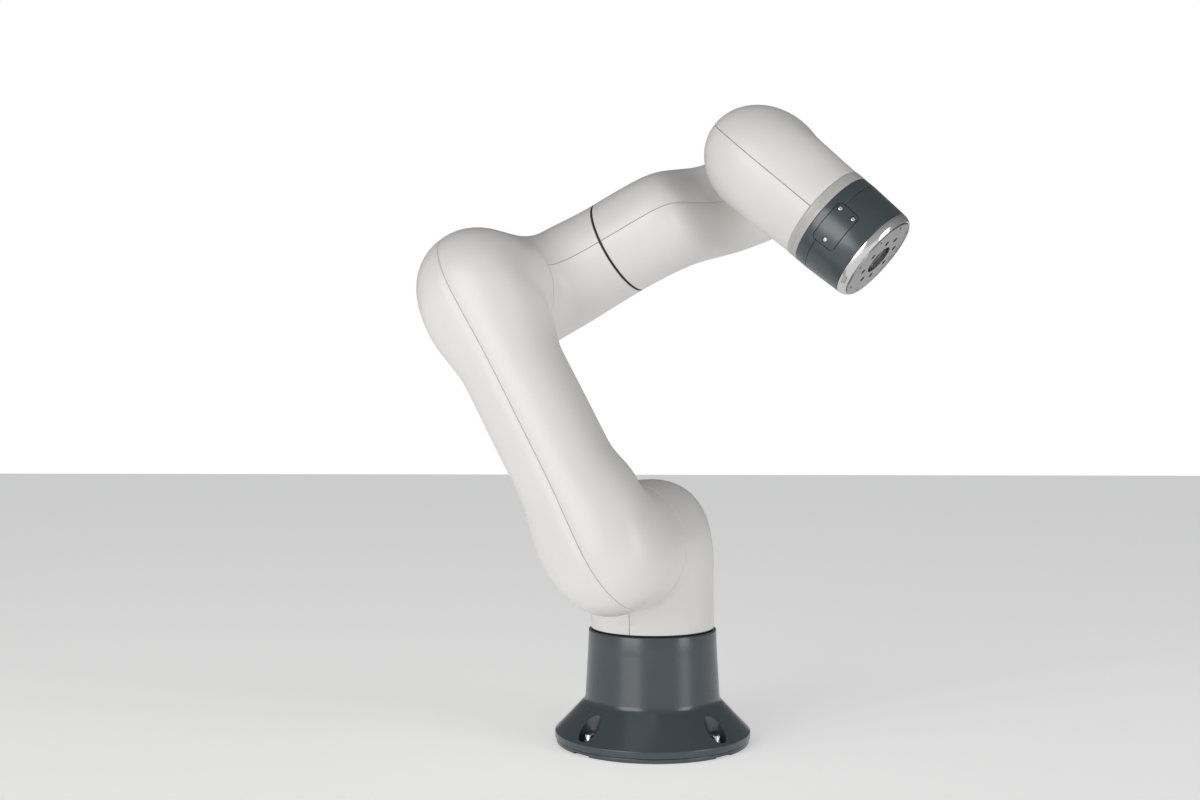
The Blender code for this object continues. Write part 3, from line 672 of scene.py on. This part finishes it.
def hand_stages():
    face = WRIST_PLANE - GAP
    radius = HAND_DOME_RADIUS
    back = HAND_BACK_RADIUS
    end = LIGHT_START - GAP
    return [
        (line((face, -radius), (HAND_DOME, -back)), line((face, radius), HAND_NECK[0]),
         radius, back),
        (arc((HAND_DOME, 0.0), HAND_DOME - HAND_TIP, back, -90.0, -180.0), bend(*HAND_NECK),
         back, HAND_NECK_WIDTH),
        (bend((HAND_TIP, 0.0), (HAND_TIP, 0.030), (-HAND_RADIUS, 0.055), (-HAND_RADIUS, end)),
         bend(*HAND_BACK, (HAND_RADIUS, end)), HAND_NECK_WIDTH, HAND_RADIUS),
    ]


def make_housing(name, stages, place, squareness):
    """Both half shells of one body; gives back the stations that they follow."""
    rows = with_power(stations(stages), squareness)
    for word, side in (("left", -1), ("right", 1)):
        add_piece("%s_skin_%s" % (name, word), half_skin(rows, side), WHITE, place, name, "shell",
                  "%s_shell_%s" % (name, word), sharp=40.0)
    return rows


def latch_tab():
    """A small square snap-hook tab, almost flush with the skin."""
    mesh = bmesh.new()
    bmesh.ops.create_cube(mesh, size=1.0)
    mesh.transform(shifted(0, 0, LATCH_PROUD - LATCH_THICKNESS / 2)
                   @ Matrix.Diagonal((LATCH_SIZE, LATCH_SIZE, LATCH_THICKNESS, 1.0)))
    bmesh.ops.bevel(mesh, geom=mesh.edges[:], offset=0.00025, segments=2, affect="EDGES")
    return mesh


def make_latches(name, rows, place, marks):
    """Place a tab at each mark: (share of the stations, degrees from the outer rail, side)."""
    for number, (share, degrees, side) in enumerate(marks, 1):
        spot = surface_frame(rows, share, degrees, side)
        add_piece("%s_latch_%d" % (name, number), latch_tab(), WHITE, place @ spot, name, "shell")


# ---------------------------------------------------------------- turned shapes

def turned(profile, sides=96):
    """Turn a closed (radius, height) profile about Z; a zero radius makes one pole vertex."""
    mesh = bmesh.new()
    rings = []
    for radius, height in profile:
        if radius < 1e-7:
            rings.append([mesh.verts.new((0.0, 0.0, height))])
            continue
        rings.append([mesh.verts.new((radius * math.cos(2 * math.pi * k / sides),
                                      radius * math.sin(2 * math.pi * k / sides), height))
                      for k in range(sides)])
    for first, second in zip(rings, rings[1:] + rings[:1]):
        if len(first) == 1 and len(second) == 1:
            continue
        for side in range(sides):
            after = (side + 1) % sides
            if len(first) == 1:
                mesh.faces.new((first[0], second[side], second[after]))
            elif len(second) == 1:
                mesh.faces.new((first[side], first[after], second[0]))
            else:
                mesh.faces.new((first[side], first[after], second[after], second[side]))
    return mesh


def rounded(profile, radii, steps=5):
    """Round the corners of a closed (radius, height) profile.

    radii maps a corner's number to its fillet.
    """
    result = []
    count = len(profile)
    for number, point in enumerate(profile):
        here = Vector(point)
        fillet = radii.get(number, 0.0)
        if fillet <= 0.0:
            result.append(tuple(here))
            continue
        to_before = (Vector(profile[number - 1]) - here).normalized()
        to_after = (Vector(profile[(number + 1) % count]) - here).normalized()
        half = to_before.angle(to_after) / 2
        reach = fillet / math.tan(half)
        bisector = (to_before + to_after).normalized()
        centre = here + bisector * (fillet / math.sin(half))
        first = (here + to_before * reach - centre).normalized()
        last = (here + to_after * reach - centre).normalized()
        for step in range(steps + 1):
            result.append(tuple(centre + first.slerp(last, step / steps) * fillet))
    return result


def plug(radius, low, high, sides):
    """A plain cylinder or prism about Z, used as a cutting shape."""
    return turned([(0.0, low), (radius, low), (radius, high), (0.0, high)], sides)


def on_circle(radius, turn, height=0.0):
    return shifted(radius * math.cos(turn), radius * math.sin(turn), height)


def ring_profile(inner, outer, low, high):
    return [(inner, low), (outer, low), (outer, high), (inner, high)]


def block(low, high):
    mesh = bmesh.new()
    bmesh.ops.create_cube(mesh, size=1.0)
    size = Vector(high) - Vector(low)
    middle = (Vector(high) + Vector(low)) / 2
    mesh.transform(Matrix.Translation(middle) @ Matrix.Diagonal((*size, 1.0)))
    return mesh


def ring_mesh(inner, outer, low, high, fillet=0.0003, sides=96):
    return turned(rounded(ring_profile(inner, outer, low, high), {1: fillet, 2: fillet}, 3), sides)


# ---------------------------------------------------------------- base

def make_base():
    mesh = turned(rounded(BASE_PROFILE, BASE_FILLETS, 6), BASE_SIDES)
    housing = add_piece("base_casting", mesh, SLATE, WORLD, "base", "casting", "base_housing")
    cuts = []
    for angle in BOLT_ANGLES:
        pocket = plug(POCKET_RADIUS, BOLT_SEAT, POCKET_TOP, 40)
        pocket.transform(on_circle(BOLT_CIRCLE, math.radians(angle)))
        cuts.append(pocket)
    carve(housing, cuts, WORLD)
    soften(housing, 0.0007, angle=28.0, segments=3)
    for number, angle in enumerate(BOLT_ANGLES, 1):
        place = on_circle(BOLT_CIRCLE, math.radians(angle), BOLT_SEAT + GAP)
        make_socket_screw("base_screw_%d" % number, place, "base_bolt_%d" % number)
    seal_low = BASE_TOP + GAP
    seal = ring_mesh(SEAL_INNER, SEAL_OUTER, seal_low, seal_low + SEAL_THICKNESS, 0.0004)
    add_piece("base_lip_seal", seal, RUBBER, WORLD, "base", "seal", "base_seal")


def make_socket_screw(name, place, node):
    """An M6 socket head screw on its washer, with a hexagon socket."""
    washer = WASHER_THICKNESS
    top = washer + BOLT_HEAD_HEIGHT
    profile = [(0.0, BOLT_FOOT), (BOLT_SHANK, BOLT_FOOT), (BOLT_SHANK, 0.0), (WASHER_RADIUS, 0.0),
               (WASHER_RADIUS, washer), (BOLT_HEAD, washer), (BOLT_HEAD, top), (0.0, top)]
    mesh = turned(rounded(profile, {3: 0.0003, 4: 0.0004, 5: 0.0002, 6: 0.0007}, 3), 36)
    screw = add_piece(name, mesh, SCREW, place, "base", "screw", node)
    carve(screw, [plug(BOLT_SOCKET, top - BOLT_SOCKET_DEPTH, top + washer, 6)], place)


def make_plate():
    """The round foot plate, with shallow slots in its edge below the pockets."""
    thick = PLATE_THICKNESS
    profile = [(0.0, 0.0), (PLATE_RADIUS, 0.0), (PLATE_RADIUS, thick), (0.0, thick)]
    mesh = turned(rounded(profile, {1: 0.0006, 2: 0.0006}, 3), BASE_SIDES)
    plate = add_piece("base_foot_plate", mesh, SLATE, WORLD, "base", "casting", "base_plate")
    cuts = []
    for angle in BOLT_ANGLES:
        turn = math.radians(angle)
        slot = block((-0.011, -0.004, -0.001), (0.011, 0.004, 0.0024))
        slot.transform(Matrix.Rotation(turn, 4, "Z") @ shifted(PLATE_RADIUS, 0.0, 0.0)
                       @ Matrix.Rotation(math.radians(90), 4, "Z"))
        cuts.append(slot)
        hole = plug(BOLT_HOLE, -thick, 2 * thick, 24)
        hole.transform(on_circle(BOLT_CIRCLE, turn))
        cuts.append(hole)
    carve(plate, cuts, WORLD)


# ---------------------------------------------------------------- connector panel on the back

FACING_BACK = Matrix.Rotation(math.radians(-90), 4, "X")


def make_panel():
    slab = block((-PANEL_HALF, PANEL_BACK, PANEL_LOW), (PANEL_HALF, PANEL_FACE, PANEL_HIGH))
    plate = add_piece("panel_plate", slab, PANEL, WORLD, "base", "panel", "connector_panel")
    cuts = []
    for _, (x, z), radius, *_ in RECEPTACLES:
        groove = turned(ring_profile(radius + 0.0043, radius + 0.0048, -0.0003, 0.001), 48)
        groove.transform(shifted(x, PANEL_FACE, z) @ FACING_BACK)
        cuts.append(groove)
    carve(plate, cuts, WORLD)
    soften(plate, 0.0009, segments=3)
    reach = PANEL_HALF - PANEL_SCREW_INSET
    heights = (PANEL_LOW + PANEL_SCREW_INSET, PANEL_HIGH - PANEL_SCREW_INSET)
    corners = [(x, z) for z in heights for x in (-reach, reach)]
    for number, (x, z) in enumerate(corners, 1):
        place = shifted(x, PANEL_FACE + 0.00005, z) @ FACING_BACK
        make_button_screw("panel_screw_%d" % number, place, 0.0024, 0.0014, "base")
    for kind, spot, radius, socket, depth, pins in RECEPTACLES:
        make_receptacle(kind + "_receptacle", spot, radius, socket, depth, pins, kind + "_connector")
    make_ground_stud()


def make_receptacle(name, spot, radius, socket, depth, pins, node):
    """A flanged round receptacle with a knurled coupling ring, an insert and gold pins."""
    place = shifted(spot[0], PANEL_FACE + GAP, spot[1]) @ FACING_BACK
    flange = 0.003
    rim = radius + 0.004
    profile = [(0.0, 0.0), (rim, 0.0), (rim, flange), (radius, flange),
               (radius, depth), (socket, depth), (socket, flange), (0.0, flange)]
    shell = turned(rounded(profile, {2: 0.0006, 3: 0.0004, 4: 0.0006, 5: 0.0005}, 3), 64)
    add_piece(name, shell, PLASTIC, place, "base", "plastic", node)
    pin_top = depth - 0.002
    pin_profile = [(0.0, flange), (0.0007, flange), (0.0007, pin_top), (0.0, pin_top)]
    for number in range(pins):
        pin = turned(rounded(pin_profile, {2: 0.0005}, 3), 16)
        pin.transform(on_circle(socket * 0.55, 2 * math.pi * number / pins))
        add_piece("%s_pin_%d" % (name, number + 1), pin, GOLD, place, "base", "screw")
    ring_low = flange + 0.0012
    ring_high = depth - 0.0018
    ring = knurled_ring(radius + 0.0001, radius + 0.0011, ring_low, ring_high)
    add_piece(name + "_ring", ring, GROUND, place, "base", "drive_steel")


def knurled_ring(inner, outer, low, high, teeth=40):
    """A ring whose outside carries small ridges."""
    mesh = bmesh.new()
    rings = []
    sides = teeth * 4
    for radius, height, ridged in ((inner, low, False), (outer - 0.0004, low, False),
                                   (outer, low + 0.0005, True), (outer, high - 0.0005, True),
                                   (outer - 0.0004, high, False), (inner, high, False)):
        ring = []
        for side in range(sides):
            angle = 2 * math.pi * side / sides
            reach = radius - (0.00035 if ridged and side % 4 in (2, 3) else 0.0)
            ring.append(mesh.verts.new((reach * math.cos(angle), reach * math.sin(angle), height)))
        rings.append(ring)
    for first, second in zip(rings, rings[1:] + rings[:1]):
        for side in range(sides):
            after = (side + 1) % sides
            mesh.faces.new((first[side], first[after], second[after], second[side]))
    return mesh


def make_ground_stud():
    """A hexagon nut on a threaded stud, its thread cut as rings."""
    place = shifted(0.0, PANEL_FACE + GAP, GROUND_STUD_HEIGHT) @ FACING_BACK
    nut_profile = [(0.0, 0.0), (0.0058, 0.0), (0.0058, 0.004), (0.0, 0.004)]
    nut = turned(rounded(nut_profile, {2: 0.0006}, 2), 6)
    stud = add_piece("ground_nut", nut, SCREW, place, "base", "screw", "ground_stud")
    soften(stud, 0.0003)
    thread = [(0.0, 0.0041), (0.0029, 0.0041)]
    height = 0.0045
    while height < 0.0112:
        thread += [(0.0029, height), (0.0026, height + 0.0003), (0.0029, height + 0.0006)]
        height += 0.0008
    thread += [(0.0029, 0.0114), (0.0024, 0.0119), (0.0, 0.0119)]
    add_piece("ground_thread", turned(thread, 32), SCREW, place, "base", "screw")


def make_button_screw(name, place, radius, height, body, node=None):
    """A low round head with a hexagon socket, seated on local Z = 0."""
    profile = [(0.0, 0.0), (radius, 0.0), (radius, height * 0.35), (radius * 0.78, height * 0.85),
               (radius * 0.5, height), (0.0, height)]
    mesh = turned(rounded(profile, {2: 0.0003, 3: 0.0006, 4: 0.0004}, 3), 40)
    nodes = (node,) if node else ()
    screw = add_piece(name, mesh, SCREW, place, body, "screw", *nodes)
    carve(screw, [plug(radius * 0.48, height * 0.3, height * 2, 6)], place)


# ---------------------------------------------------------------- hand end

def hand_surface(station):
    """Outer radius of the collar and the housing at a station along axis 6."""
    share = max(0.0, (station - COLLAR_END) / (HOUSING_END - COLLAR_END))
    return HAND_RADIUS + (HOUSING_RADIUS - HAND_RADIUS) * share


def curved_plate(grow, above, below):
    """A rounded plate wrapped round axis 6 on the -Y side, between two offsets from the surface."""
    half = COVER_LENGTH / 2 + grow
    reach = COVER_WIDTH / 2 + grow
    corner = COVER_CORNER + grow
    angles = [math.radians(step * 10.75) for step in range(9)]
    ends = [(half - corner + corner * math.sin(angle), reach - corner + corner * math.cos(angle))
            for angle in angles]
    middle = [((half - corner) * share / 8, reach) for share in range(7, -1, -1)]
    right = list(reversed(ends)) + middle
    columns = right + [(-across, along) for across, along in reversed(right[:-1])]
    mesh = bmesh.new()
    rows = []
    for across, along in columns:
        angle = across / HAND_RADIUS
        row = []
        for offset, shift in ((above, along), (above, -along), (-below, -along), (-below, along)):
            station = COVER_MIDDLE + shift
            radius = hand_surface(station) + offset
            row.append(mesh.verts.new((radius * math.sin(angle), -radius * math.cos(angle), station)))
        rows.append(row)
    for first, second in zip(rows, rows[1:]):
        for edge in range(4):
            after = (edge + 1) % 4
            mesh.faces.new((first[edge], first[after], second[after], second[edge]))
    mesh.faces.new(rows[0])
    mesh.faces.new(rows[-1])
    return mesh


def sleeve(start, end, radius_in, radius_out, wall, fillet=0.0005):
    profile = [(radius_in - wall, start), (radius_in, start),
               (radius_out, end), (radius_out - wall, end)]
    return turned(rounded(profile, {1: fillet, 2: fillet}, 4), HAND_SIDES)


def make_light_ring():
    """A diffuser ring with two faint grooves round it."""
    inner = HAND_RADIUS - 0.0035
    outer = HAND_RADIUS + 0.0002
    profile = [(inner, LIGHT_START), (outer, LIGHT_START)]
    for groove in (LIGHT_START + 0.0042, LIGHT_START + 0.0066):
        profile += [(outer, groove - 0.0003), (outer - 0.00025, groove), (outer, groove + 0.0003)]
    profile += [(outer, LIGHT_END), (inner, LIGHT_END)]
    corners = {1: 0.0004, len(profile) - 2: 0.0004}
    ring = turned(rounded(profile, corners, 3), HAND_SIDES)
    add_piece("light_diffuser", ring, LIGHT, HAND_FRAME, "hand", "light", "light_ring")


def make_hand_end():
    make_light_ring()
    mesh = sleeve(LIGHT_END + GAP, COLLAR_END, HAND_RADIUS, HAND_RADIUS, COLLAR_WALL)
    collar = add_piece("collar_casting", mesh, SLATE, HAND_FRAME, "hand", "casting", "hand_collar")
    mesh = sleeve(COLLAR_END + GAP, HOUSING_END, HAND_RADIUS, HOUSING_RADIUS, COLLAR_WALL)
    housing = add_piece("end_casting", mesh, SLATE, HAND_FRAME, "hand", "casting", "hand_housing")
    for piece in (collar, housing):
        carve(piece, [curved_plate(0.0008, 0.010, COVER_THICKNESS)], HAND_FRAME)
    mesh = curved_plate(0.0, 0.0002, COVER_THICKNESS - GAP)
    cover = add_piece("end_cover", mesh, SLATE, HAND_FRAME, "hand", "casting", "hand_cover")
    recess = 0.0033
    floor = -0.0011
    places = screw_places()
    cuts = []
    for place in places:
        cut = plug(recess, floor, 0.004, 40)
        cut.transform(place)
        cuts.append(cut)
    carve(cover, cuts, HAND_FRAME)
    soften(cover, 0.0004, segments=3)
    for number, place in enumerate(places, 1):
        seat = HAND_FRAME @ place @ shifted(0.0, 0.0, floor + 0.0001)
        make_button_screw("end_cover_screw_%d" % number, seat, 0.0025, 0.0014, "hand",
                          "cover_screw_%d" % number)


def screw_places():
    """Frames of the cover screws: local Z points out of the housing."""
    places = []
    for across, along in COVER_SCREWS:
        station = COVER_MIDDLE + along
        turn = Matrix.Rotation(across / HAND_RADIUS, 4, "Z")
        out = shifted(0.0, -hand_surface(station), station)
        places.append(turn @ out @ Matrix.Rotation(math.radians(90), 4, "X"))
    return places


def make_flange():
    start = HOUSING_END + GAP
    mouth = FLANGE_RADIUS + GAP
    rim = [(mouth, start), (0.0495, start), (0.0494, start + 0.0030), (0.0484, start + 0.0060),
           (0.0467, RIM_END), (mouth, RIM_END)]
    fillets = {1: 0.0004, 2: 0.004, 3: 0.004, 4: 0.0007, 5: 0.0003}
    add_piece("flange_ring", turned(rounded(rim, fillets, 5), BASE_SIDES), POLISHED, HAND_FRAME,
              "flange", "rim", "flange_rim", sharp=50.0)
    disc = [(0.0, start), (FLANGE_RADIUS, start), (FLANGE_RADIUS, FLANGE_REACH),
            (0.0, FLANGE_REACH)]
    plate = add_piece("flange_face", turned(rounded(disc, {2: 0.0004}, 3), BASE_SIDES), TURNED,
                      HAND_FRAME, "flange", "flange", "tool_flange")
    above = FLANGE_REACH + 0.01
    cuts = []

    def add_hole(radius, depth, turn=0.0, circle=0.0, sides=40):
        hole = plug(radius, FLANGE_REACH - depth, above, sides)
        hole.transform(on_circle(circle, turn))
        cuts.append(hole)

    add_hole(CENTRE_BORE, CENTRE_DEPTH, sides=96)
    pitch = 2 * math.pi / TOOL_HOLES
    for number in range(TOOL_HOLES):
        add_hole(TOOL_HOLE, HOLE_DEPTH, pitch * number, TOOL_CIRCLE)
        add_hole(OUTER_HOLE, HOLE_DEPTH, pitch * (number + 0.5), OUTER_CIRCLE, 24)
    carve(plate, cuts, HAND_FRAME)
    soften(plate, 0.0004, segments=2)
    make_bore_cover()


def make_bore_cover():
    """The drive's end cap at the bottom of the centring bore, with six screw heads round it."""
    floor = FLANGE_REACH - CENTRE_DEPTH
    profile = ring_profile(CAP_BORE, CAP_RADIUS, floor, floor + CAP_THICKNESS)
    cap = turned(rounded(profile, {1: 0.0002, 2: 0.0004, 3: 0.0004}, 3), 72)
    piece = add_piece("bore_cap", cap, SCREW, HAND_FRAME, "flange", "flange")
    cuts = []
    for number in range(CAP_SCREWS):
        turn = 2 * math.pi * number / CAP_SCREWS
        cut = plug(CAP_SCREW_SINK, floor + 0.0008, floor + 0.004, 24)
        cut.transform(on_circle(CAP_SCREW_CIRCLE, turn))
        cuts.append(cut)
        seat = HAND_FRAME @ on_circle(CAP_SCREW_CIRCLE, turn, floor + 0.0009)
        make_button_screw("bore_screw_%d" % (number + 1), seat, 0.0014, 0.0009, "flange")
    carve(piece, cuts, HAND_FRAME)


def make_seals():
    ring = ring_mesh(TUBE_RADIUS - 0.0035, TUBE_RADIUS - GAP, GAP - LIP, LIP - GAP, 0.0004,
                     HAND_SIDES)
    add_piece("roll_seal", ring, RUBBER, WRIST_FRAME, "forearm", "seal", "axis4_seal")


make_base()
make_plate()
make_panel()
make_hand_end()
make_flange()
make_seals()

# name: stages, frame, squareness and latch marks as (share, degrees, side)
HOUSINGS = {
    "column": (column_stages, COLUMN_FRAME, COLUMN_SQUARENESS, ((0.12, 165, -1),)),
    "link_arm": (link_stages, LINK_FRAME, LINK_SQUARENESS,
                 ((0.27, 20, -1), (0.5, 24, -1), (0.70, 24, -1))),
    "forearm": (forearm_stages, FOREARM_FRAME, 0.0,
                ((0.72, 150, -1), (0.9, 120, -1), (0.85, 150, 1))),
    "wrist": (wrist_stages, WRIST_FRAME, 0.0, ((0.08, 150, -1), (0.35, 150, -1), (0.30, 150, 1))),
    "hand": (hand_stages, HAND_FRAME, 0.0, ((0.45, 28, -1), (0.80, 30, 1))),
}
for body_name, (body_stages, body_frame, body_squareness, body_marks) in HOUSINGS.items():
    body_rows = make_housing(body_name, body_stages(), body_frame, body_squareness)
    make_latches(body_name, body_rows, body_frame, body_marks)


# ---------------------------------------------------------------- CAD nodes that stay

def dress(node, material):
    item = frame["nodes"][node]
    item.data.materials.clear()
    item.data.materials.append(material)


def dress_frame():
    finishes = {"casting": SLATE, "seal": RUBBER, "light": LIGHT, "screw": SCREW, "rim": POLISHED,
                "flange": TURNED, "panel": PANEL, "plastic": PLASTIC, "winding": COPPER,
                "drive_steel": GROUND, "board": BOARD, "shell": WHITE}
    for entry in frame["record"]["subparts"]:
        dress(entry["node"], finishes[entry["material_slot"]])


dress_frame()


# ---------------------------------------------------------------- studio

def make_stage():
    mesh = bmesh.new()
    bmesh.ops.create_grid(mesh, x_segments=1, y_segments=1, size=6.0)
    data = bpy.data.meshes.new("studio_floor")
    mesh.to_mesh(data)
    mesh.free()
    floor = bpy.data.objects.new("studio_floor", data)
    material, _, shader = new_material("pale_floor", (0.88, 0.88, 0.87), 0.9)
    shader.inputs["Emission Color"].default_value = (1.0, 1.0, 1.0, 1.0)
    shader.inputs["Emission Strength"].default_value = 0.38
    data.materials.append(material)
    bpy.context.scene.collection.objects.link(floor)


def add_light(name, location, target, size_x, size_y, power, color=(1.0, 1.0, 1.0)):
    data = bpy.data.lights.new(name, "AREA")
    data.shape = "RECTANGLE"
    data.size = size_x
    data.size_y = size_y
    data.energy = power
    data.color = color
    lamp = bpy.data.objects.new(name, data)
    lamp.location = location
    lamp.rotation_euler = (Vector(target) - Vector(location)).to_track_quat("-Z", "Y").to_euler()
    bpy.context.scene.collection.objects.link(lamp)


def make_lights():
    """Two softboxes and a world that is brightest from the front and below."""
    middle = (0.0, 0.0, 0.35)
    add_light("key_softbox", (-1.55, -2.00, 0.85), middle, 1.7, 1.7, 26.0, (1.0, 0.985, 0.965))
    add_light("right_strip", (2.00, -1.30, 0.60), middle, 0.80, 1.5, 12.0, (0.97, 0.985, 1.0))
    world = bpy.data.worlds.new("studio_world")
    world.use_nodes = True
    tree = world.node_tree
    ambient = tree.nodes["Background"]
    ambient.inputs["Color"].default_value = (0.98, 0.99, 1.0, 1.0)
    direction = tree.nodes.new("ShaderNodeTexCoord")
    toward = tree.nodes.new("ShaderNodeVectorMath")
    toward.operation = "DOT_PRODUCT"
    toward.inputs[1].default_value = (0.0, -0.8, -0.6)
    fade = tree.nodes.new("ShaderNodeMapRange")
    fade.inputs["From Min"].default_value = -1.0
    fade.inputs["To Min"].default_value = 0.14
    fade.inputs["To Max"].default_value = 0.52
    tree.links.new(direction.outputs["Generated"], toward.inputs[0])
    tree.links.new(toward.outputs["Value"], fade.inputs["Value"])
    tree.links.new(fade.outputs["Result"], ambient.inputs["Strength"])
    backdrop = tree.nodes.new("ShaderNodeBackground")
    backdrop.inputs["Color"].default_value = (1.0, 1.0, 1.0, 1.0)
    backdrop.inputs["Strength"].default_value = 1.0
    path = tree.nodes.new("ShaderNodeLightPath")
    mix = tree.nodes.new("ShaderNodeMixShader")
    tree.links.new(path.outputs["Is Camera Ray"], mix.inputs[0])
    tree.links.new(ambient.outputs[0], mix.inputs[1])
    tree.links.new(backdrop.outputs[0], mix.inputs[2])
    tree.links.new(mix.outputs[0], tree.nodes["World Output"].inputs["Surface"])
    bpy.context.scene.world = world


def make_camera():
    data = bpy.data.cameras.new("studio_camera")
    data.sensor_width = 36.0
    data.lens = 40.425
    data.clip_end = 50.0
    camera = bpy.data.objects.new("studio_camera", data)
    camera.location = (0.0, -1.44388, 0.35046)
    camera.rotation_euler = (math.radians(90.477), 0.0, math.radians(2.224))
    bpy.context.scene.collection.objects.link(camera)
    bpy.context.scene.camera = camera
    bpy.context.scene.view_settings.view_transform = "Standard"


make_stage()
make_lights()
make_camera()
